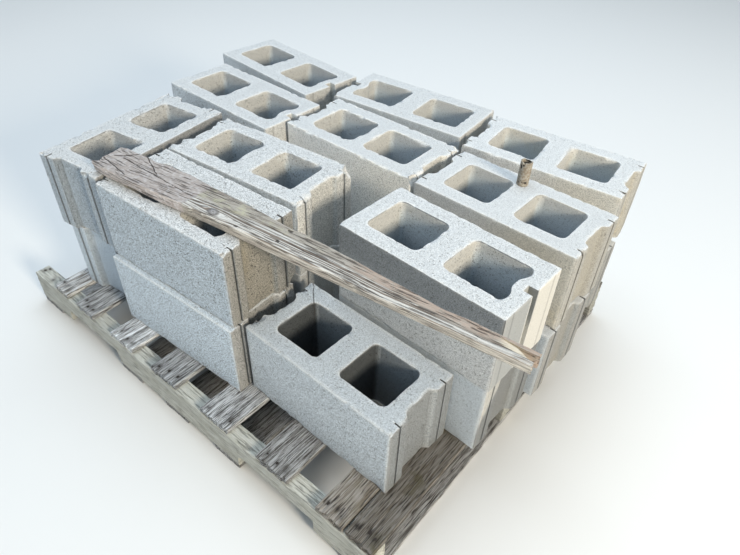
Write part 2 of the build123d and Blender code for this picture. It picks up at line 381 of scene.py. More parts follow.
# %% Damage
# Broken places of each block: x, y, z and radius of the ball in mm, in the block's own frame
BITES = {
    "bottom_block_03": [
        (-200, -58, 196, 15), (-201, -30, 197, 12), (-197, -76, 197, 9), (-202, 60, 197, 13),
        (-196, 84, 199, 9), (-199, 10, 199, 9), (-199, 38, 198, 9), (60, -99, 199, 6),
        (201, -44, 196, 10), (199, -94, 197, 7), (150, 60, 199, 6)],
    "top_block_03": [
        (203, 97, 192, 22), (201, 80, 198, 13), (203, -60, 197, 15), (200, -86, 196, 11),
        (-201, -62, 196, 15), (-203, -20, 198, 14), (-200, 50, 197, 13), (-201, 88, 197, 11)],
    "top_block_06": [
        (203, -88, 190, 20), (200, -60, 198, 14), (202, 70, 197, 12), (110, -99, 198, 9),
        (-203, -70, 195, 14), (-201, 20, 198, 12), (198, 95, 198, 12), (40, -99, 199, 7)],
    "top_block_10": [
        (-203, -86, 194, 16), (-200, -40, 199, 11), (203, 60, 197, 10), (-203, 88, 196, 14)],
    "top_block_07": [
        (204, -68, 196, 12), (201, -90, 198, 9), (-202, 92, 197, 10), (-199, -92, 198, 8)],
    "top_block_01": [
        (-204, -93, 198, 9), (-203, -62, 197, 13), (-201, 88, 197, 9), (203, 20, 197, 16),
        (204, 80, 195, 18), (203, -50, 197, 14)],
    "top_block_02": [
        (200, -97, 196, 10), (204, 90, 70, 20), (203, 97, 110, 14), (202, 97, 4, 24),
        (-199, -96, 197, 7), (202, -60, 197, 8)],
    "top_block_04": [(150, 99, 197, 7), (20, 100, 198, 6), (-199, -96, 197, 7), (60, -99, 198, 5)],
    "bottom_block_02": [(203, 88, 190, 18), (201, 40, 197, 16), (199, -99, 150, 6)],
    "bottom_block_07": [(204, -70, 190, 20)],
    "bottom_block_01": [(-203, 70, 197, 13), (-202, -80, 6, 11)],
    "top_block_08": [(-200, 94, 197, 10), (201, 90, 198, 8)],
    "top_block_09": [(-202, -92, 197, 12), (201, 94, 197, 9), (203, 96, 60, 12)],
}
# How strongly the edges crumble, and by how much the cores of one block stand nearer: the
# openings beside the plank show it
CRUMBLE = {"top_block_01": 1.6, "top_block_03": 1.7, "top_block_06": 1.8, "top_block_10": 1.3,
           "bottom_block_03": 1.1, "top_block_02": 1.0, "top_block_05": 1.2}
PLAIN_CRUMBLE = 0.8
CORES_NEARER = {"top_block_02": 5.0}


def edge_distance(table):
    """Distance to the nearest edge: the second smallest of the distances to the faces."""
    x, y, z, to_outline, to_core, _ = table.T
    nearest = np.sort(np.stack([to_outline, to_core, BLOCK_HEIGHT - z, z], -1), 1)[:, 1]
    upright = np.maximum(HALF_LENGTH - np.abs(x), HALF_WIDTH - np.abs(y))
    return np.where(to_outline < 0.01, np.minimum(nearest, upright), nearest)


def damaged(name, table, triangles):
    """Points of a block after roughening, crumbling along the edges, and bites."""
    seed = 11 + BLOCK_NAMES.index(name)
    points = table[:, :3].copy()
    points[:, 1] -= CORES_NEARER.get(name, 0) * (1 - ease(np.abs(points[:, 1]), 64, 92))
    normals = point_normals(points, triangles)
    edge = edge_distance(table)
    strength = CRUMBLE.get(name, PLAIN_CRUMBLE)
    rough = 0.35 * np.abs(value_noise(points, 9, seed))
    rough += 0.25 * np.abs(value_noise(points, 4.5, seed + 1))
    small = 2.6 * (1 - ease(edge, 0, 7)) * ease(value_noise(points, 13, seed + 2), 0.05, 0.75)
    large = 6.0 * (1 - ease(edge, 0, 15)) * ease(value_noise(points, 42, seed + 3), 0.35, 0.8)
    large *= 0.6 + 0.4 * value_noise(points, 8, seed + 4)
    points -= normals * (rough + strength * small + 1.4 * max(strength - 0.7, 0) * large)[:, None]
    for x, y, z, radius in BITES.get(name, []):
        arm = points - (x, y, z)
        length = np.linalg.norm(arm, axis=1)
        reach = radius * (1 + 0.3 * value_noise(points, radius * 0.7, seed + 5))
        inside = length < reach
        points[inside] += arm[inside] * ((reach - length) / np.maximum(length, 1))[inside, None]
    limits = np.array([HALF_LENGTH, HALF_WIDTH, BLOCK_HEIGHT])
    return np.clip(points, limits * (-1, -1, 0), limits), edge


print("blocks with bites:", len(BITES))

# %% [markdown]
# ## Step 7: put the blocks in their places
#
# Each block is turned and moved to its node, and carries the values that the concrete reads:
# its own place in the texture, nearness to an edge, depth in a core, and how warm, coarse,
# shaded and light each point is. In the photograph a low sun warms the right ends and the upper
# core walls, and the near sides lie in cool shade. Soft studio light can't draw that by itself,
# so these values hold part of it, worked out from the direction that each point faces.

# %% Make the blocks
# Tone of the block, partly painted light and shade; the colour of its ends, part beige stain and
# part painted sunlight; its coarseness; and the painted light and shade added to the tone of
# faces towards -Y and of faces towards +X
LOOKS = {
    "top_block_01": (0.0, 0.0, 1.3, -0.7, -2.2), "top_block_02": (0.1, 1.0, 1.9, 0.1, -2.4),
    "top_block_03": (0.2, 0.35, 1.3, 0.1, -0.3), "top_block_04": (0.4, 1.0, 1.0, -2.9, -0.3),
    "top_block_05": (0.1, 0.35, 1.1, 0.9, 0.0), "top_block_06": (0.25, 0.4, 1.0, 2.6, 0.2),
    "top_block_07": (0.35, 0.9, 0.8, -0.2, -2.0), "top_block_08": (0.1, 0.5, 0.9, 0.5, -0.6),
    "top_block_09": (0.2, 0.4, 0.8, 0.0, -0.6), "top_block_10": (0.6, 0.9, 0.9, 0.3, -1.8),
    "bottom_block_01": (0.1, 0.0, 0.8, 0.5, -1.4), "bottom_block_02": (0.4, 0.3, 1.6, 0.6, -2.5),
    "bottom_block_03": (-0.2, 0.1, 1.2, 0.9, -2.5), "bottom_block_05": (0.1, 0.8, 0.6, 0.6, -1.2),
    "bottom_block_08": (0.0, 0.5, 0.7, 0.0, -2.3), "bottom_block_11": (0.0, 0.5, 0.7, 0.0, -2.1),
}
PLAIN_LOOK = (-0.1, 0.35, 0.7, 0.0, 0.0)
CORNER_BLOCK, LEDGE_BLOCK, FRONT_BLOCK = "bottom_block_03", "bottom_block_02", "top_block_04"
TURNED = ("top_block_01", "bottom_block_01")
# Blocks whose near faces get a stronger painted blue shade
BLUE_PAINTED_SHADE = (*TURNED, "top_block_02", "bottom_block_02")
# Painted sunlight on the core walls that face +X, weaker in the cores listed as dim; painted
# sunlight on faces towards -Y, and on the upper part of the core walls that face the same way
PAINTED_SUN, DIM_PAINTED_SUN, DIM_CORES = 0.7, 0.25, (CORNER_BLOCK, "top_block_01")
PAINTED_NEAR_SUN = {"top_block_06": 0.4, "top_block_07": 0.9, "top_block_10": 0.7}
PAINTED_WALL_SUN = {"top_block_04": 0.4, "top_block_07": 0.4, "top_block_09": 0.3, "top_block_10": 1.0}
# Painted shadow on a part of a right end: where its edge crosses at mid height, its lean and its
# side
PAINTED_END_SHADE = {"top_block_04": (8, 0.0, -1), "bottom_block_05": (-90, 0.6, 1)}
SLIT_LINE = 69.0
TEXTURE_STEP = np.array([1.31, 0.77, 0.53])


def painted_end_shade(name, y, z, right_side):
    """Share of painted shadow on a right end, to one side of the line y = place + lean (z - 100).
    """
    place, lean, side = PAINTED_END_SHADE.get(name, (0, 0.0, 0))
    return abs(side) * right_side * ease(side * (y - place - lean * (z - 100)), -5, 5)


def block_values(name, table, points, normals, edge):
    """The numbers that the concrete reads, many of them painted light and shade. Each is a product
    of
    eased steps: of the direction a point faces, its depth in a core, and its distance to an end, a
    slit or an edge."""
    tone, painted_sun_and_stain, coarse, near_painted_tone, right_painted_tone = LOOKS.get(name, PLAIN_LOOK)
    x, y, z, to_outline, _, depth = table.T
    to_right, to_near, upward = normals[:, 0], -normals[:, 1], normals[:, 2]
    from_end, on_outline = HALF_LENGTH - np.abs(x), to_outline < 0.5
    to_slit = np.abs(np.abs(y) - SLIT_LINE)
    on_end = (np.abs(x) > EAR_LINE) & on_outline & (np.abs(y) < HALF_WIDTH - 1)
    by_slit = (to_slit < 4) & on_outline & (upward < 0.5) & (name not in TURNED)
    in_core = ease(depth, 0.0, 0.03)
    # painted sunlight on the upper core walls that face +X
    painted_core_sun = (DIM_PAINTED_SUN if name in DIM_CORES else PAINTED_SUN) * in_core
    painted_core_sun *= ease(to_right, 0.3, 0.8) * (1 - ease(depth, 0.25, 0.6))
    far_wall = in_core * ease(to_near, 0.3, 0.8)
    near_side = ease(to_near, 0.5, 0.9) * (depth == 0)
    # painted shadow: on this block only the upper part of the near side is darkened
    if name == FRONT_BLOCK:
        near_side *= ease(z, 85, 135)
    right_side = ease(to_right, 0.25, 0.7) * (1 - in_core * (name != CORNER_BLOCK))
    # the slit walls take the painted shade of faces towards +X
    right_side = np.maximum(right_side, by_slit)
    # painted shadow over part of a right end
    shaded = painted_end_shade(name, y, z, right_side)
    # painted light: the top of one block's ledge is made lighter and bluer
    ledge = (name == LEDGE_BLOCK) * ease(upward, 0.2, 0.7) * ease(-y, 78, 88)
    blue = 1.6 if name in BLUE_PAINTED_SHADE else 0.0 if name in PAINTED_NEAR_SUN else 1.0
    # painted sunlight on the ends, where beige stain lies too, on +X and far core walls and near
    # faces
    warm = [on_end * painted_sun_and_stain * (0.55 + 0.45 * ease(from_end, 4, 12)) * (1 - 0.7 * shaded), painted_core_sun,
            PAINTED_WALL_SUN.get(name, 0) * far_wall * (1 - ease(depth, 0.2, 0.45)),
            PAINTED_NEAR_SUN.get(name, 0) * near_side * ease(x, -80, 110)]
    # painted shade, cool blue: near faces, far and deep core walls, the corner block, turned
    # blocks' ends, the ledge and shadowed parts of right ends
    cool = [blue * near_side, 1.8 * far_wall * ease(depth, 0.02, 0.25), 2.0 * ease(depth, 0.2, 0.6),
            (0.8 + 0.6 * in_core) * (name == CORNER_BLOCK), 1.6 * on_end * (name in TURNED),
            1.4 * ledge, 0.5 * shaded]
    smooth = (1 - 0.2 * ease(upward, 0.5, 0.9)) * (1 - 0.7 * on_end * (name == FRONT_BLOCK))
    # painted shade in the corner block's cores, painted light on the upper far core walls
    inner = -1.2 * in_core if name == CORNER_BLOCK else 0.9 * far_wall * (1 - ease(depth, 0.3, 0.8))
    return {
        "own_place": points * MM + TEXTURE_STEP * BLOCK_NAMES.index(name),
        "edge": 1 - ease(edge, 0, 9),
        "core_depth": depth,
        "painted_sun_and_stain": np.maximum.reduce(warm),
        "coarse": coarse * smooth,
        "shade": np.maximum.reduce(cool),
        # painted shade in the slits
        "slit": ((to_slit < 3) & on_outline) * ease(from_end, -8, 9),
        # painted light and shade in the tone: near and +X faces, core walls, the ledge, shadowed
        # end parts
        "tone": (tone + near_painted_tone * near_side + right_painted_tone * right_side + inner + 0.8 * ledge
                 - 1.9 * shaded),
    }


def build_block(name):
    """One block at its node's place, with its damage and its values for the material."""
    ends = END_KINDS.get(name, ("stretcher", "stretcher"))
    detail = 1.0 if name.startswith("top") or name == CORNER_BLOCK else 0.75
    table, triangles = block_surface(ends, CENTRE_WEBS.get(name, CENTRE_WEB), detail)
    points, edge = damaged(name, table, triangles)
    middle, turn = PLACES[name]
    c, s = np.cos(np.radians(turn)), np.sin(np.radians(turn))
    placed = points @ np.array([[c, s, 0], [-s, c, 0], [0, 0, 1]]) + middle
    values = block_values(name, table, points, point_normals(placed, triangles), edge)
    piece = make_piece(name.replace("block", "concrete"), placed, triangles, values, sharp_angle=48)
    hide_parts(name)
    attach(piece, "root")
    return piece


BLOCKS = {name: build_block(name) for name in BLOCK_NAMES}
print("triangles in all blocks:", sum(len(piece.data.polygons) for piece in BLOCKS.values()))

# %% [markdown]
# ## Step 8: helpers for materials
#
# A material is a small network of nodes. These helpers add one node each and wire its inputs,
# so that a network reads from top to bottom. The last ones do what every material here needs:
# `paint` lays colours over one another, each with a mask, a strength and a colour.

# %% Node helpers
FLOAT, VECTOR = "NodeSocketFloat", "NodeSocketVector"


def wire(tree, node, inputs):
    """Sets or links a node's inputs, by name or by number."""
    for key, value in inputs.items():
        if isinstance(value, bpy.types.NodeSocket):
            tree.links.new(value, node.inputs[key])
        else:
            node.inputs[key].default_value = value
    return node


def add(tree, kind, inputs=(), **settings):
    """A new shader node with its settings, and its inputs set or linked."""
    node = tree.nodes.new("ShaderNode" + kind)
    for key, value in settings.items():
        setattr(node, key, value)
    return wire(tree, node, dict(inputs))


def noise(tree, place, scale, detail=3.0, rough=0.55, bend=0.0):
    """Noise from 0 to 1, of `scale` waves a metre."""
    return add(tree, "TexNoise", {"Vector": place, "Scale": scale, "Detail": detail,
                                  "Roughness": rough, "Distortion": bend}).outputs["Fac"]


def maths(tree, operation, *values, clamp=False):
    """One sum, product or other operation on values."""
    return add(tree, "Math", enumerate(values), operation=operation, use_clamp=clamp).outputs[0]


def times(tree, a, b):
    """The product of two values."""
    return maths(tree, "MULTIPLY", a, b)


def span(tree, value, low, high, start=0.0, stop=1.0):
    """Changes a value from `low`..`high` to `start`..`stop`, eased and kept within them."""
    limits = {"From Min": low, "From Max": high, "To Min": start, "To Max": stop}
    return add(tree, "MapRange", {"Value": value, **limits},
               interpolation_type="SMOOTHSTEP").outputs["Result"]


def vectors(tree, operation, a, b=None, scale=None, output="Vector"):
    """One operation on one or two vectors, or on a vector and a scale."""
    given = {0: a, 1: b, "Scale": scale}
    inputs = {key: value for key, value in given.items() if value is not None}
    return add(tree, "VectorMath", inputs, operation=operation).outputs[output]


def stretch(tree, place, scale):
    """A place scaled along each axis, so that noise looks drawn out."""
    return add(tree, "Mapping", {"Vector": place, "Scale": scale}).outputs["Vector"]


def attribute(tree, name, output="Fac"):
    """A value that the mesh's points carry."""
    return add(tree, "Attribute", attribute_name=name).outputs[output]


def object_place(tree):
    """The place of a point in metres."""
    return add(tree, "TexCoord").outputs["Object"]


def blend(tree, factor, a, b, kind="MIX"):
    """Mixes colour `b` over colour `a`."""
    return add(tree, "Mix", {0: factor, 6: a, 7: b}, data_type="RGBA", blend_type=kind).outputs[2]


def ramp(tree, value, low, high, dark, light):
    """From a dark colour where a value is low to a light one where it is high."""
    return blend(tree, span(tree, value, low, high), (*dark, 1), (*light, 1))


def paint(tree, colour, layers):
    """Lays colours over one another: a mask, a strength, a colour and, if not MIX, the kind."""
    for mask, strength, shade, *kind in layers:
        colour = blend(tree, times(tree, mask, strength), colour, (*shade, 1), *kind)
    return colour


def toned(tree, colour, share, *factors):
    """A colour times 1 + share x the points' tone, and times any other factors."""
    tone = maths(tree, "MULTIPLY_ADD", attribute(tree, "tone"), share, 1.0)
    for factor in factors:
        tone = times(tree, tone, factor)
    return vectors(tree, "SCALE", colour, scale=tone)


def new_group(name, inputs, outputs):
    """An empty node group with named sockets, given as name to kind, and its two end nodes."""
    group = bpy.data.node_groups.new(name, "ShaderNodeTree")
    for direction, sockets in (("INPUT", inputs), ("OUTPUT", outputs)):
        for key, kind in sockets.items():
            group.interface.new_socket(key, in_out=direction, socket_type=kind)
    return group, group.nodes.new("NodeGroupInput").outputs, group.nodes.new("NodeGroupOutput")


def use_group(tree, group, inputs):
    """Adds a group to a material and wires its inputs."""
    return add(tree, "Group", inputs, node_tree=group).outputs


def new_material(name, roughness):
    """A material, its tree and its shader, with one roughness all over."""
    material = bpy.data.materials.new(name)
    material.use_nodes = True
    tree = material.node_tree
    shader = tree.nodes["Principled BSDF"]
    return material, tree, wire(tree, shader, {"Roughness": roughness, "Specular IOR Level": 0.25})


def finish_surface(tree, shader, colour, height, depth):
    """Wires the colour, and a bump of `depth` metres."""
    bump = add(tree, "Bump", {"Height": height, "Distance": depth, "Strength": 1.0})
    wire(tree, shader, {"Normal": bump.outputs["Normal"], "Base Color": colour})


print("node helpers ready")

# %% [markdown]
# ## Step 9: concrete
#
# One group makes the grain of concrete: sand as fine speckle, grit as coarser spots, and dark
# open pores. A second group makes soft patches for stains. They are groups because a group's
# inputs can be set anew at each use, as its coarseness is here for each block.

# %% Concrete groups
tree, source, result = new_group(
    "Concrete grain", {"Place": VECTOR, "Coarseness": FLOAT},
    {"Speckle": FLOAT, "Pores": FLOAT, "Height": FLOAT})
sand, grit, holes = (noise(tree, source["Place"], scale, detail, rough)
                     for scale, detail, rough in ((760, 2, 0.7), (340, 3, 0.7), (270, 1, 0.5)))
pores = times(tree, span(tree, holes, 0.63, 0.72), source["Coarseness"])
speckle = maths(tree, "ADD", times(tree, sand, 0.6), times(tree, grit, 0.4))
rise = maths(tree, "SUBTRACT", grit, times(tree, pores, 0.9))
wire(tree, result, {"Speckle": speckle, "Pores": pores, "Height": rise})
grain_group = tree

tree, source, result = new_group(
    "Soft patches", {"Place": VECTOR, "Size": FLOAT, "Cover": FLOAT}, {"Mask": FLOAT})
cloud = noise(tree, source["Place"], source["Size"], 5, 0.6, 0.4)
low = maths(tree, "SUBTRACT", 0.78, times(tree, source["Cover"], 0.5))
wire(tree, result, {"Mask": span(tree, cloud, low, maths(tree, "ADD", low, 0.22))})
patch_group = tree


def soft_patches(tree, place, size, cover):
    """Mask of patches, `size` waves a metre, over about `cover` of a surface."""
    return use_group(tree, patch_group, {"Place": place, "Size": size, "Cover": cover})["Mask"]


print("groups:", grain_group.name, "and", patch_group.name)

# %% [markdown]
# A crack is a line between two places. The foot of a point on the line is found from two dot
# products, and the mask is dark where the point is nearer to its foot than the crack's width.
# A little noise sways the line.

# %% Crack group
tree, source, result = new_group(
    "Crack line", {"Place": VECTOR, "From": VECTOR, "To": VECTOR, "Width": FLOAT}, {"Mask": FLOAT})
ripple = maths(tree, "SUBTRACT", noise(tree, source["Place"], 70, 2), 0.5)
sway = vectors(tree, "SCALE", (1, 1, 1), scale=times(tree, ripple, 0.005))
arm = vectors(tree, "SUBTRACT", vectors(tree, "ADD", source["Place"], sway), source["From"])
reach = vectors(tree, "SUBTRACT", source["To"], source["From"])
share = maths(tree, "DIVIDE", *(vectors(tree, "DOT_PRODUCT", side, reach, output="Value")
                                for side in (arm, reach)), clamp=True)
foot = vectors(tree, "SCALE", reach, scale=share)
gap = vectors(tree, "LENGTH", vectors(tree, "SUBTRACT", arm, foot), output="Value")
inner = times(tree, source["Width"], 0.4)
wire(tree, result, {"Mask": span(tree, gap, inner, source["Width"], 1.0, 0.0)})
crack_group = tree


def crack_lines(tree, place, lines, offset=(0, 0, 0)):
    """The darkest of several cracks, each given in mm as start, end and width."""
    mask = 0.0
    for line in lines:
        start, end = (np.array(line[k:k + 3]) * MM + offset for k in (0, 3))
        crack = use_group(tree, crack_group,
                          {"Place": place, "From": start, "To": end, "Width": line[6] * MM})
        mask = maths(tree, "MAXIMUM", mask, crack["Mask"])
    return mask


print("nodes in a crack:", len(crack_group.nodes))

# %% [markdown]
# Blocks like these are pressed from a dry mix, so their faces are open and sandy. The material
# lays stains, painted sunlight, painted shade, pores and worn edges over the speckle. The masks
# could be painted by hand.
# Here the points carry them, so that every block gets them by the same rule.

# %% Concrete material
# Cracks of the block that stands alone at the near corner: over its top and down its core's wall
CORNER_CRACKS = [
    (-193, 97, 194, -146, 53, 194, 1.9), (-146, 53, 194, -149, 56, 95, 1.6),
    (-150.4, 2, 150, -153, 38, 20, 1.5), (-150, -47, 192, -151, -45, 120, 1.3)]

concrete, tree, shader = new_material("concrete", 0.93)
place = attribute(tree, "own_place", "Vector")
coarse, painted_sun_and_stain, shade, edge, slit, depth = (attribute(tree, key) for key in (
    "coarse", "painted_sun_and_stain", "shade", "edge", "slit", "core_depth"))
grain = use_group(tree, grain_group, {"Place": place, "Coarseness": coarse})
cool, warm = (soft_patches(tree, place, *kind) for kind in ((9.0, 0.45), (6.0, 0.55)))
speckled = ramp(tree, grain["Speckle"], 0.41, 0.59, (0.25, 0.26, 0.262), (0.74, 0.75, 0.75))
even = (0.50, 0.512, 0.515, 1)
colour = blend(tree, span(tree, coarse, 0.0, 1.8, 0.1, 1.0), even, speckled)
colour = paint(tree, colour, [
    (cool, 0.25, (0.46, 0.485, 0.50)),  # grey-blue stains
    # painted sunlight, and beige stain on the ends
    (painted_sun_and_stain, span(tree, warm, 0.0, 1.0, 0.55, 1.0), (0.98, 0.86, 0.64), "MULTIPLY"),  # sun
    (span(tree, depth, 0.0, 0.05), 0.5, (0.46, 0.475, 0.48)),  # smoother walls of the cores
    (grain["Pores"], 0.55, (0.16, 0.155, 0.145)),
    # painted shade: a cool blue tint where the points' shade is high
    (shade, 0.5, (0.86, 0.98, 1.10), "MULTIPLY"),
    (edge, span(tree, cool, 0.2, 0.9, 0.35, 0.1), (0.74, 0.735, 0.71)),  # worn edges
    # painted shade: dark in the slits
    (slit, 0.85, (0.12, 0.115, 0.11)),
])
# painted light and shade from the tone, and painted shade darker towards the bottom of the cores
colour = toned(tree, colour, 0.22, span(tree, depth, 0.2, 1.0, 1.15, 0.45))
cracks = crack_lines(tree, place, CORNER_CRACKS, TEXTURE_STEP * BLOCK_NAMES.index(CORNER_BLOCK))
colour = paint(tree, colour, [(cracks, 0.85, (0.06, 0.06, 0.06))])
finish_surface(tree, shader, colour, grain["Height"], 0.0013)
for piece in BLOCKS.values():
    piece.data.materials.append(concrete)
print("nodes in concrete:", len(tree.nodes))

# %% [markdown]
# ## Step 10: the surface of a piece of wood
#
# A board is a section carried along its length. The section is a rectangle with rounded
# corners, and each row can have its own lower and upper limits, so the same function makes
# boards, notched stringers and the plank. At both ends the section shrinks to a line, which
# closes the end. Ridges that are long along the grain and narrow across it roughen the wood. A
# bump alone would draw them too, but not along the ragged edges, which are seen close.

# %% Bars of wood


def section_path(across, up):
    """Closed unit path around a section: across from -1 to 1 on top, then down, back and up."""
    top = np.linspace(-1, 1, across)
    side = np.linspace(1, -1, up + 2)[1:-1]
    x = np.concatenate([top, np.ones(up), top[::-1], -np.ones(up)])
    z = np.concatenate([np.ones(across), side, -np.ones(across), side[::-1]])
    return x, z


def end_rows(length, step):
    """Places along a bar, close together near both ends, and how full the section is at each."""
    count = max(2, int((length - 12) / step))
    near_end, filling = np.array([0, 0, 0, 0, 0.6, 2.0]), [0, 0.35, 0.7, 0.93, 0.985]
    along = [near_end, np.linspace(6, length - 6, count), length - near_end[::-1]]
    return np.concatenate(along), np.concatenate([filling, np.ones(count + 2), filling[::-1]])


def bar(along, full, near, far, low, high, path, corner=2.0):
    """Grid of points: a section between limits that may change along the bar. What a point
    stands past the start of a rounded corner is pulled in to the corner's radius."""
    half = np.array([far - near, high - low]) / 2
    middle = np.array([near + far, low + high])[:, None] / 2
    section = np.array(path)[:, :, None] * half[:, None] * full
    over = np.maximum(np.abs(section) - (half - corner)[:, None], 0)
    both = np.maximum(np.hypot(*over) / corner, 1)
    section -= np.sign(section) * over * (1 - 1 / both)
    return np.stack([np.broadcast_to(along, section.shape[1:]), *(section + middle)], -1)


def weathered(points, triangles, seed, depth, splits, ragged, length):
    """Presses in the softer grain, chips the edges, and frays the two ends."""
    normals = point_normals(points, triangles)
    ridge = np.abs(value_noise(points * (1 / 160, 1 / 8, 1 / 8), 1.0, seed))
    wide = value_noise(points * (1 / 200, 1 / 25, 1 / 25), 1.0, seed + 2)
    crack = ease(value_noise(points * (1 / 140, 1 / 8, 1 / 8), 1.0, seed + 3), 0.5, 0.8)
    pressed = depth * (0.8 * ridge + 0.6 * np.abs(wide)) + splits * crack
    moved = points - normals * pressed[:, None]
    fray = ragged * (0.5 + 0.5 * value_noise(points * (0, 1 / 7, 1 / 5), 1.0, seed + 4))
    to_end = np.minimum(points[:, 0], length - points[:, 0])
    pull = np.clip(fray - to_end, 0, None)
    moved[:, 0] += np.where(points[:, 0] < length / 2, pull, -pull)
    return moved


def bar_mesh(grid):
    """Joined points of a bar's grid, and triangles that face outwards."""
    return joined_grid(grid, grid_faces(*grid.shape[:2], wrap_across=True)[:, ::-1])


def wood_piece(name, node, grid, seed, place, depth, splits, ragged, tone, moss):
    """Joins a bar's grid, weathers it, sets it in its place, hides its node and attaches it to the
    root.
    """
    points, triangles = bar_mesh(grid)
    moved = weathered(points, triangles, seed, depth, splits, ragged, points[:, 0].max())
    turn, origin = place
    placed = moved @ turn + origin
    to_nail = np.linalg.norm(placed[:, None] - NAILS[None], axis=2).min(1)
    values = {"grain_place": points * MM + (seed * 0.71, seed * 0.13, 0),
              "nail_stain": np.exp(-(to_nail / NAIL_STAIN) ** 2)}
    for key, value in (("tone", tone), ("moss", moss), ("worn", float("stringer" in node))):
        values[key] = np.full(len(points), value)
    piece = make_piece(name, placed, triangles, values, sharp_angle=55)
    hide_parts(node)
    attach(piece, "root")
    return piece


print("points around a deck board's section:", len(section_path(36, 3)[0]))

# %% [markdown]
# ## Step 11: the pallet
#
# Nails go through the ends of the deck boards into the outer stringers, and a few are left in
# the near stringer where the first board is gone. Deck boards run along Y and stringers along
# X. Each takes its size and place from its node, and the stringers' lower edge follows the two
# notches.

# %% Nails
TOP_BOARDS = sorted(name for name in NODES if "top_board" in name)
LOST_BOARD_NAILS = [(-641, -486, 104), (-587, -492, 104), (-636, -474, 104)]
NAIL_LINES = (-486.0, 486.0)
NAIL_STAIN = 7
# Radius and height of a head, from its foot in the wood up to its middle
NAIL_PROFILE = np.array([(3.9, -2.6), (3.9, -0.9), (3.3, -0.45), (1.6, -0.3), (0, -0.3)])


def nail_places():
    """Three nails in a loose row where each top board crosses an outer stringer."""
    spots = np.array([(low[0] + (high[0] - low[0]) * share, y, high[2])
                      for y in NAIL_LINES for low, high in map(node_limits, TOP_BOARDS)
                      for share in (0.2, 0.52, 0.8)])
    spots[:, 0] += 6 * value_noise(spots, 3.0, 71)
    spots[:, 1] += 11 * value_noise(spots, 3.0, 72)
    return np.concatenate([spots, np.array(LOST_BOARD_NAILS, float)])


def nail_heads(spots):
    """A low dome of radius and height turned round an upright axis, one for each nail."""
    dome = turned_profile(NAIL_PROFILE, 14)
    across, along = dome.shape[:2]
    first = np.arange(len(spots))[:, None, None] * across * along
    faces = (grid_faces(across, along, wrap_across=True)[None] + first).reshape(-1, 4)
    points, triangles = joined_grid(spots[:, None, None] + dome[None], faces)
    piece = make_piece("nail_heads", points, triangles, {"pits": np.ones(len(points))})
    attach(piece, "root")
    return piece


NAILS = nail_places()
NAIL_HEADS = nail_heads(NAILS)
print("nails:", len(NAILS))

# %% [markdown]
# Each board's tone and moss differ, as they do in the photograph: the boards at the right are
# the darkest and the most overgrown. The wear is worked out from each board's own seed.

# %% Boards and stringers
TURN_Y, LEVEL = np.array([[0, 1, 0], [-1, 0, 0], [0, 0, 1]], float), np.eye(3)
NOTCH_START, NOTCH_LENGTH, NOTCH_RISE, NOTCH_ROUND = 152.0, 229.0, 38.0, 13.0
NOTCH_STEPS = np.array([-0.5, 0, 0.4, 1.2, 2.5, 4.5, 7.5, 12.5])
STRINGER_WIDTH, STRINGER_HEIGHT = 41, 89
# Tone of a board, and how mossy it is
BOARD_LOOKS = {
    "top_board_1": (0.7, 0.1), "top_board_2": (0.2, 0.05), "top_board_3": (1.3, 0.0),
    "top_board_4": (-0.1, 0.0), "top_board_5": (0.25, 0.02), "top_board_6": (-0.4, 0.1),
    "top_board_7": (-0.3, 0.3), "top_board_8": (-0.95, 1.0),
}
PLAIN_BOARD = (-0.2, 0.1)


def deck_board(name, seed):
    """A board along Y with frayed ends and worn edges."""
    low, high = node_limits(name)
    width, length, thick = high - low
    on_top = name.startswith("top")
    step, around, ragged = (10, 36, 6.0) if on_top else (20, 12, 2.0)
    along, full = end_rows(length, step)
    wave = np.stack([along / 90, np.full_like(along, seed), np.zeros_like(along)], -1)
    near = -width + np.abs(value_noise(wave, 1.0, seed)) * 1.8
    far = -np.abs(value_noise(wave, 1.0, seed + 9)) * 1.8
    grid = bar(along, full, near, far, 0 * along, 0 * along + thick, section_path(around, 3), 1.6)
    return wood_piece(name.replace("board", "plank_board"), name, grid, seed, (TURN_Y, low),
                      0.8, 1.5, ragged, *BOARD_LOOKS.get(name, PLAIN_BOARD))


def notch_line(along, length):
    """Height of a stringer's lower edge: two notches with rounded corners."""
    from_end = np.minimum(along, length - along) - NOTCH_START
    inside = np.clip(np.minimum(from_end, NOTCH_LENGTH - from_end), 0, None)
    gap = np.clip(NOTCH_ROUND - inside, 0, NOTCH_ROUND)
    curve = NOTCH_RISE - NOTCH_ROUND + np.sqrt(NOTCH_ROUND**2 - gap**2)
    return np.where(inside > 0, np.where(inside < NOTCH_ROUND, curve, NOTCH_RISE), 0)


def stringer(name, seed):
    """A beam along X whose lower edge has two notches, with rows close together at each side."""
    low, high = node_limits(name)
    length = high[0] - low[0]
    along, full = end_rows(length, 9)
    stop = NOTCH_START + NOTCH_LENGTH
    sides = ((NOTCH_START, 1), (stop, -1), (length - NOTCH_START, -1), (length - stop, 1))
    along = np.concatenate([along] + [start + NOTCH_STEPS * side for start, side in sides])
    full = np.concatenate([full, np.ones(len(along) - len(full))])
    order = np.argsort(along, kind="stable")
    along, full = along[order], full[order]
    grid = bar(along, full, 0 * along, 0 * along + STRINGER_WIDTH, notch_line(along, length),
               0 * along + STRINGER_HEIGHT, section_path(14, 16), 2.0)
    tone = 0.6 if name.endswith("1") else 0.0
    return wood_piece(name.replace("stringer", "beam"), name, grid, seed, (LEVEL, low),
                      0.7, 0.9, 4.0, tone, 0.15)


WOOD = []
for make, word, first in ((deck_board, "board", 31), (stringer, "stringer", 61)):
    names = sorted(name for name in NODES if word in name)
    WOOD += [make(name, first + number) for number, name in enumerate(names)]
print("triangles in the pallet:", sum(len(piece.data.polygons) for piece in WOOD))

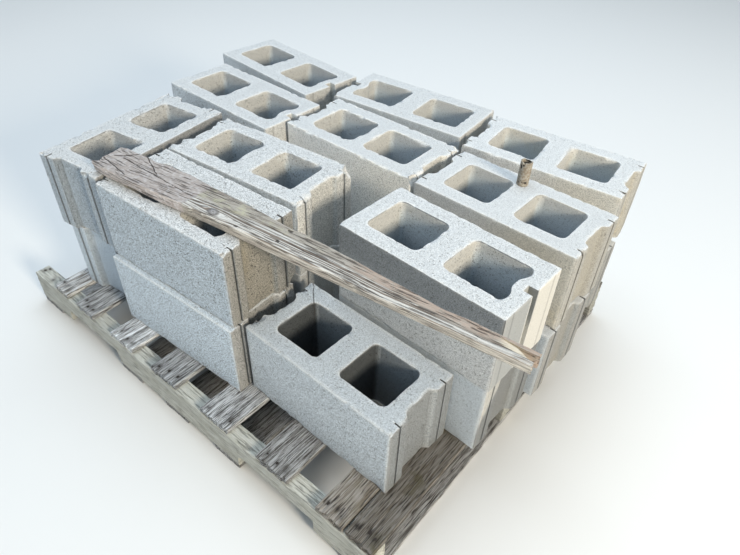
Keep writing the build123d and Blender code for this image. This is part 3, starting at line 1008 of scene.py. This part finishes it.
# %% [markdown]
# ## Step 12: the plank
#
# The plank's edges follow the photograph: wide and ragged at the left, then narrower, and torn
# to two tips at the right. Each edge is a line of places in millimetres, x from the plank's
# left and y from its far side. Where each end lies is a line too, of x for each y, so the same
# rule frays the left end and opens the split at the right. A knot is where a branch grew, and
# the grain runs round it. The plank could be cut out of a board by hand, but lines of numbers
# are easier to correct against the photograph.

# %% Plank
PLANK_LOW, PLANK_HIGH = node_limits("plank")
PLANK_LINES = {
    "far": [
        (0, -74), (15, -66), (60, -65), (77, -61), (112, -60), (149, -50), (209, -43), (284, -41),
        (413, -35), (505, -34), (540, -28), (648, -25), (760, -22), (851, -20), (902, -13),
        (957, -8), (1020, -2)],
    "near_top": [
        (0, -158), (42, -157), (104, -152), (163, -145), (218, -136), (284, -125), (401, -111),
        (525, -96), (618, -87), (675, -82), (746, -77), (843, -62), (936, -51), (1020, -39)],
    "near_bottom": [
        (0, -150), (44, -150), (138, -137), (212, -131), (261, -124), (364, -110), (428, -103),
        (522, -91), (657, -75), (883, -46), (1020, -31)],
    "stripe_side": [
        (0, -85), (368, -82), (456, -60), (590, -55), (720, -49), (830, -43), (925, -35),
        (960, -27), (1020, -27)],
    "left_end": [
        (-160, 16), (-150, 7), (-142, 17), (-128, 10), (-110, 9), (-96, 6), (-80, 1), (-72, 3),
        (-67.5, 12), (-65, 62), (-60, 80), (-40, 84)],
    "right_end": [
        (-60, 1010), (-39, 1019), (-29.6, 1018), (-28.4, 1005), (-19.4, 983), (-17, 954),
        (-15.9, 950), (-15.2, 986), (-13.2, 1010), (-11, 1019), (0, 1017)],
}
KNOT, KNOT_RADIUS = (352.0, -100.0), 8.5
PLANK_LENGTH, PLANK_THICKNESS = 1021, 30


def plank_line(name, place):
    """Where one of the plank's lines lies at each place along it, straight between its points."""
    return np.interp(place, *np.transpose(PLANK_LINES[name]))


def plank_grid():
    """The plank along X: a section between the two edges, whose near side leans inwards."""
    along, full = end_rows(1019.0, 3.2)
    far, near_top = (plank_line(name, along) for name in ("far", "near_top"))
    wave = np.stack([along / 35, along * 0, along * 0], -1)
    far = far - 1.8 * np.abs(value_noise(wave, 1.0, 5))
    near_top = near_top + 1.8 * np.abs(value_noise(wave, 1.0, 6))
    thick = 29.8 - 1.2 * np.abs(value_noise(wave / 3, 1.0, 7))
    grid = bar(along, full, near_top, far, 0 * along, thick, section_path(84, 12), 3.5)
    lean = (plank_line("near_bottom", along) - near_top) * (1 - grid[..., 2] / PLANK_THICKNESS)
    share = (far - grid[..., 1]) / np.maximum(far - near_top, 1)
    grid[..., 1] += lean * np.clip(share, 0, 1)
    return grid


def plank_relief(points, line, striped, on_knot):
    """Depth pressed into the plank: grooves along the grain, deeper where it is striped."""
    ridge = value_noise(np.stack([points[:, 0] / 260, line / 4.5, points[:, 2] / 9], -1), 1.0, 3)
    wide = value_noise(points * (1 / 120, 1 / 18, 1 / 18), 1.0, 4)
    crack = ease(value_noise(points * (1 / 100, 1 / 6, 1 / 6), 1.0, 8), 0.45, 0.8)
    groove = 0.9 * (0.4 + 0.5 * striped) * (0.5 - ridge)
    return 0.5 + groove + 0.5 * np.abs(wide) + crack - 0.6 * on_knot


def plank_piece():
    """Weathers the plank: the grain's lines bend round the knot, whose rings are a cosine of the
    distance from it, and both ends are cut off where the end lines say."""
    points, triangles = bar_mesh(plank_grid())
    x, y, z = points.T
    knot_x, knot_y = x - KNOT[0], y - KNOT[1]
    pull = np.exp(-(knot_x / 50) ** 2 - (knot_y / 18) ** 2)
    line = y - plank_line("near_top", x) - 9 * pull * np.tanh(knot_y / 8)
    past_stripes = y - plank_line("stripe_side", x)
    covered = 1 - ease(x + 1.5 * value_noise(points, 6.0, 21), 280, 284)
    striped = 1 - ease(past_stripes + 3 * value_noise(points, 20.0, 22), -4, 4)
    striped *= (1 - covered) * ease(z, 20, 27)
    from_knot = np.hypot(knot_x / 1.45, knot_y) + value_noise(points, 5.0, 23)
    on_knot = 1 - ease(from_knot, KNOT_RADIUS - 1, KNOT_RADIUS + 1)
    rings = np.exp(-((from_knot - KNOT_RADIUS) / 2.0) ** 2)
    rings += 0.8 * on_knot * (0.5 - 0.5 * np.cos(1.9 * from_knot))
    normals = point_normals(points, triangles)
    moved = points - normals * plank_relief(points, line, striped, on_knot)[:, None]
    left = plank_line("left_end", y) + 2.5 * value_noise(points, 9.0, 12)
    right = plank_line("right_end", y) + 1.5 * value_noise(points, 6.0, 13)
    moved[:, 0] = np.clip(moved[:, 0], np.maximum(left, 0), np.minimum(right, PLANK_LENGTH))
    moved[:, 2] = np.clip(moved[:, 2], 0, PLANK_THICKNESS)
    values = {
        "grain_place": np.stack([x, line, z], -1) * MM,
        "own_place": (points - (0, 0, 29)) * (MM, MM, 0.4 * MM),
        "striped": striped, "covered": covered, "knot": on_knot, "knot_ring": np.minimum(rings, 1),
        "lichen": (1 - covered) * (1 - ease(x, 470, 640)) * ease(past_stripes, -12, 6),
        "pink": ease(x, 640, 700) * ease(past_stripes, -2, 5),
        "torn": ease(x, 945, 970) * ease(y, -29.5, -28) * (1 - ease(y, -16, -14)),
        # painted light: the near side of the plank is made lighter
        "tone": 0.75 * ease(-normals[:, 1], 0.5, 0.9)}
    corner = np.array([PLANK_LOW[0], PLANK_HIGH[1], PLANK_LOW[2]])
    piece = make_piece("weathered_plank", moved + corner, triangles, values, sharp_angle=60)
    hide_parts("plank")
    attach(piece, "root")
    return piece


PLANK = plank_piece()
print("plank triangles:", len(PLANK.data.polygons), "box", PLANK_LOW.round(), PLANK_HIGH.round())

# %% [markdown]
# ## Step 13: the pipe stub
#
# A short end of rusty pipe stands on the load. A cylinder with a Solidify modifier would do, but
# a profile turned about the axis, up the outside, over the rim and down the inside, gives the
# rim its roundness too. Noise then eats rust pits into the wall.

# %% Pipe stub


def pipe_piece():
    """The pipe's profile of radius and height, turned through a full circle."""
    low, high = node_limits("pipe_stub")
    outer, wall, height = (high[0] - low[0]) / 2, 3.0, high[2] - low[2]
    rise = np.linspace(1, height - 1, 34)
    rim = [(outer - 0.3, height - 0.3), (outer - 1, height), (outer - wall + 1, height),
           (outer - wall + 0.3, height - 0.3)]
    foot = [(outer - wall, 0.2), (outer - wall / 2, 0), (outer - 0.2, 0.1)]
    profile = [(outer, z) for z in rise] + rim + [(outer - wall, z) for z in rise[::-1]] + foot
    grid = turned_profile(np.array(profile), 96)
    faces = grid_faces(*grid.shape[:2], wrap_across=True, wrap_along=True)
    points, triangles = joined_grid(grid, faces)
    normals = point_normals(points, triangles)
    pits = 0.9 * ease(value_noise(points, 5.0, 17), 0.25, 0.7)
    pits += 0.25 * np.abs(value_noise(points, 1.8, 18))
    nick = 3.0 * ease(value_noise(points * (1, 1, 0), 7.0, 19), 0.1, 0.6)
    nick *= ease(points[:, 2], height - 6, height)
    points = points - normals * pits[:, None] - np.array([0, 0, 1]) * nick[:, None]
    points += underside(low, high)
    piece = make_piece("rusty_pipe", points, triangles, {"pits": pits}, sharp_angle=60)
    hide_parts("pipe_stub")
    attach(piece, "root")
    return piece


PIPE = pipe_piece()
print("pipe triangles:", len(PIPE.data.polygons))

# %% [markdown]
# ## Step 14: wood and rust
#
# Wood shows fine lines along the grain and dark cracks. Both come from noise that is stretched
# far along the grain, and a crack is where such a noise is high. The noise reads the grain's
# place, which the points carry, and not their place in the room: so each board has its own
# grain, and the plank's lines bend round the knot.

# %% Wood group
tree, source, result = new_group(
    "Wood grain", {"Place": VECTOR, "Fineness": FLOAT},
    {"Lines": FLOAT, "Cracks": FLOAT, "Height": FLOAT})
fine, broad, gaps = (
    noise(tree, stretch(tree, source["Place"], (along, 1.0, 1.0)),
          times(tree, source["Fineness"], waves), detail, rough)
    for along, waves, detail, rough in (
        (0.022, 820.0, 3, 0.7), (0.022, 120.0, 2, 0.5), (0.06, 400.0, 2, 0.5)))
lines = maths(tree, "ADD", times(tree, fine, 0.78), times(tree, broad, 0.22))
cracks = span(tree, gaps, 0.56, 0.62)
rise = maths(tree, "SUBTRACT", lines, times(tree, cracks, 1.2))
wire(tree, result, {"Lines": lines, "Cracks": cracks, "Height": rise})
wood_group = tree
print("group:", wood_group.name)

# %% [markdown]
# Sawn wood that lies outside goes grey, and brown and green where it stays damp. The stringers
# are worn smooth and greenish. Iron stains the wood black round each nail.

# %% Pallet wood
pallet_wood, tree, shader = new_material("pallet_wood", 0.88)
place = attribute(tree, "grain_place", "Vector")
grain = use_group(tree, wood_group, {"Place": place, "Fineness": 1.0})
bleached, green = (
    soft_patches(tree, object_place(tree), *kind) for kind in ((16.0, 0.5), (22.0, 0.6)))
moss, worn, stain = (attribute(tree, key) for key in ("moss", "worn", "nail_stain"))
colour = ramp(tree, grain["Lines"], 0.42, 0.56, (0.085, 0.085, 0.087), (0.58, 0.602, 0.625))
colour = paint(tree, colour, [
    (span(tree, moss, 0.0, 0.3), 0.5, (0.33, 0.265, 0.185)),  # brown where it is damp
    (worn, 0.65, (0.43, 0.435, 0.38)),
    (bleached, 0.2, (0.48, 0.50, 0.505)),
    (times(tree, green, moss), 0.7, (0.17, 0.155, 0.085)),
    (stain, 0.9, (0.045, 0.04, 0.038)),
    (grain["Cracks"], span(tree, worn, 0.0, 1.0, 0.85, 0.4), (0.035, 0.03, 0.028)),
])
finish_surface(tree, shader, toned(tree, colour, 0.55), grain["Height"], 0.0014)
for piece in WOOD:
    piece.data.materials.append(pallet_wood)
print("nodes in pallet wood:", len(tree.nodes))

# %% [markdown]
# The plank shows three woods: a pinkish flat layer at the left, raised grey stripes on the near
# side, where the soft wood between the hard lines is gone, and lichen in between.

# %% Plank wood
# Splits and holes seen on the plank's top, in mm from its left and far side
PLANK_SPLITS = [
    (13, -127, 0, 107, -138, 0, 1.9), (49, -100, 0, 163, -97, 0, 2.0),
    (163, -97, 0, 276, -93, 0, 1.3), (84, -64, 0, 157, -93, 0, 1.7), (23, -106, 0, 41, -95, 0, 2.4),
    (41, -95, 0, 61, -68, 0, 2.8), (418, -102, 0, 421, -102, 0, 3.6),
    (510, -80, 0, 513, -80, 0, 3.6), (505, -43, 0, 511, -43, 0, 4.0)]

plank_wood, tree, shader = new_material("plank_wood", 0.85)
place, own_place = (attribute(tree, key, "Vector") for key in ("grain_place", "own_place"))
striped, covered, lichen, pink, knot, knot_ring, torn = (attribute(tree, key) for key in (
    "striped", "covered", "lichen", "pink", "knot", "knot_ring", "torn"))
grain = use_group(tree, wood_group, {"Place": place, "Fineness": 0.8})
patches = soft_patches(tree, object_place(tree), 38.0, 0.55)
long_noise = noise(tree, stretch(tree, place, (0.0035, 1.0, 0.5)), 300, 1.2, 0.6)
ridges = span(tree, long_noise, 0.43, 0.56)
mottle = span(tree, noise(tree, object_place(tree), 130, 3, 0.65), 0.48, 0.62)
splits = crack_lines(tree, own_place, PLANK_SPLITS)
plain = ramp(tree, grain["Lines"], 0.36, 0.64, (0.21, 0.18, 0.155), (0.52, 0.49, 0.435))
stripes = blend(tree, ridges, (0.22, 0.18, 0.15, 1), (0.70, 0.685, 0.65, 1))
colour = paint(tree, blend(tree, times(tree, striped, 0.9), plain, stripes), [
    (covered, 0.55, (0.44, 0.385, 0.375)),
    (times(tree, covered, mottle), 0.55, (0.58, 0.56, 0.56)),
    (times(tree, lichen, patches), 0.9, (0.50, 0.485, 0.355)),
    (pink, span(tree, mottle, 0.0, 1.0, 0.65, 0.25), (0.47, 0.36, 0.295)),
    (knot, 0.9, (0.40, 0.385, 0.38)),
    (knot_ring, 0.8, (0.10, 0.09, 0.085)),
    (grain["Cracks"], 0.75, (0.06, 0.05, 0.045)),
    (splits, 0.85, (0.04, 0.032, 0.028)),
    (torn, 0.85, (0.78, 0.70, 0.56)),  # fresh wood in the split
])
rise = maths(tree, "ADD", grain["Height"], times(tree, ridges, striped))
rise = maths(tree, "SUBTRACT", rise, splits)
# the plank's tone lightens its near side: painted light
finish_surface(tree, shader, toned(tree, colour, 1.0), rise, 0.0016)
PLANK.data.materials.append(plank_wood)
print("nodes in plank wood:", len(tree.nodes))

# %% [markdown]
# Rust is uneven: pale where it is thick, dark in the pits that the pipe's points carry.

# %% Rust
rust, tree, shader = new_material("rust", 0.8)
place = object_place(tree)
spots, pitted = noise(tree, place, 160, 4, 0.6), span(tree, attribute(tree, "pits"), 0.2, 0.8)
colour = ramp(tree, spots, 0.35, 0.65, (0.27, 0.22, 0.165), (0.45, 0.42, 0.36))
colour = paint(tree, colour, [(pitted, 1.0, (0.035, 0.03, 0.027))])
finish_surface(tree, shader, colour, noise(tree, place, 500, 3, 0.6), 0.0008)
for piece in (PIPE, NAIL_HEADS):
    piece.data.materials.append(rust)
print("nodes in rust:", len(tree.nodes))

# %% [markdown]
# ## Step 15: floor, light and camera
#
# A plain pale floor, a warm key light low on the right as in the photograph, and a cool light
# from above. The sky lights the scene a little, and the camera sees white in its stead. The
# camera stands where the corners of the blocks and boards fall on the same points of the
# photograph.

# %% Floor, light and camera
scene = bpy.context.scene
scene.view_settings.view_transform = "Standard"


def light(name, energy, size, place, aim, colour):
    """A square soft light that points from `place` to `aim`."""
    lamp = bpy.data.lights.new(name, "AREA")
    lamp.energy, lamp.size, lamp.color = energy, size, colour
    holder = bpy.data.objects.new(name, lamp)
    scene.collection.objects.link(holder)
    holder.location = place
    holder.rotation_euler = (Vector(aim) - Vector(place)).to_track_quat("-Z", "Y").to_euler()


floor_mesh = bpy.data.meshes.new("floor")
corners = [(-30, -30, 0), (30, -30, 0), (30, 30, 0), (-30, 30, 0)]
floor_mesh.from_pydata(corners, [], [(0, 1, 2, 3)])
floor = bpy.data.objects.new("floor", floor_mesh)
scene.collection.objects.link(floor)
floor_paint, tree, shader = new_material("floor", 0.9)
shader.inputs["Base Color"].default_value = (0.80, 0.80, 0.79, 1)
floor_mesh.materials.append(floor_paint)

light("key", 285, 1.1, (5.2, -1.3, 2.5), (0, 0, 0.3), (1.0, 0.88, 0.70))
light("sky", 190, 4.5, (-0.6, 0.6, 4.6), (0, 0, 0.2), (0.81, 0.91, 1.0))
world = bpy.data.worlds.new("sky")
scene.world = world
world.use_nodes = True
tree = world.node_tree
grey = wire(tree, tree.nodes["Background"], {"Color": (0.74, 0.88, 1.0, 1), "Strength": 0.36})
white = add(tree, "Background", {"Color": (1, 1, 1, 1), "Strength": 1.0})
seen = add(tree, "LightPath").outputs
bare = maths(tree, "MAXIMUM", seen["Is Camera Ray"], seen["Is Transmission Ray"])
bare = maths(tree, "MAXIMUM", bare, seen["Is Glossy Ray"])
chosen = add(tree, "MixShader", {0: bare, 1: grey.outputs[0], 2: white.outputs[0]})
wire(tree, tree.nodes["World Output"], {"Surface": chosen.outputs[0]})

CAMERA_PLACE = (0.8561, -0.9198, 1.2299)
AZIMUTH, ELEVATION, ROLL = np.radians([38.363, 40.973, 2.414])
FOCAL_PIXELS, IMAGE_WIDTH, SENSOR = 609.14, 740, 36
level = np.array([np.cos(AZIMUTH), np.sin(AZIMUTH), 0])
ahead = np.array([-np.sin(AZIMUTH), np.cos(AZIMUTH), 0])
back = -ahead * np.cos(ELEVATION) + np.array([0, 0, np.sin(ELEVATION)])
upward = np.cross(back, level)
right = np.cos(ROLL) * level + np.sin(ROLL) * upward
up = -np.sin(ROLL) * level + np.cos(ROLL) * upward
lens = bpy.data.cameras.new("camera")
lens.sensor_width = SENSOR
lens.lens = FOCAL_PIXELS / IMAGE_WIDTH * SENSOR
lens.clip_start = 0.05
camera = bpy.data.objects.new("camera", lens)
scene.collection.objects.link(camera)
turn = Matrix(np.stack([right, up, back], -1).tolist()).to_4x4()
camera.matrix_world = Matrix.Translation(CAMERA_PLACE) @ turn
scene.camera = camera
print("lens:", round(lens.lens, 2), "mm")

# %% [markdown]
# ## Last step: compare the sizes and finish
# Dressing a model must not change its size. The last cell prints how many pieces were dressed.

# %% Finish
print("dressed pieces:", len(BLOCKS) + len(WOOD) + len((PLANK, PIPE, NAIL_HEADS)))
